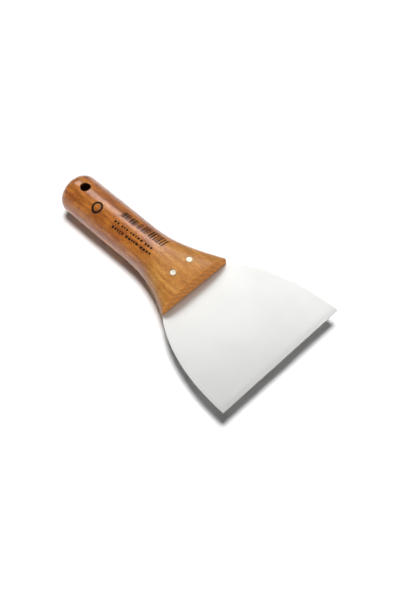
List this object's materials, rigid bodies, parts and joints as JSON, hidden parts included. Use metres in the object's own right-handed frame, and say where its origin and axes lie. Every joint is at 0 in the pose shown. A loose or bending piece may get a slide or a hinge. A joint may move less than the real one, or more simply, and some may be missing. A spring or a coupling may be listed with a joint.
{
  "type": "wide filling knife",
  "caption": "Wide filling knife: flared one-piece wooden handle with a hanging hole and a riveted fan-shaped steel blade with a straight edge.",
  "frame": {"origin": "centre of the bounding box, on the tool's long axis in the middle of the blade's thickness", "axes": "+X along the tool from the rounded end of the handle to the blade's edge, +Y across the blade, +Z through its thickness, away from the rivet pins' heads"},
  "size_m": [0.2266, 0.12, 0.0334],
  "materials": {
    "lacquered_beech": "stained orange-brown beech under a clear gloss lacquer",
    "polished_steel": "finely ground and polished spring steel",
    "rivet_aluminium": "bright, dressed flush"
  },
  "bodies": {
    "root": {"handle": "lacquered_beech", "blade": "polished_steel", "rivet_tube_left": "rivet_aluminium", "rivet_tube_right": "rivet_aluminium", "rivet_pin_left": "rivet_aluminium", "rivet_pin_right": "rivet_aluminium"}
  },
  "joints": []
}
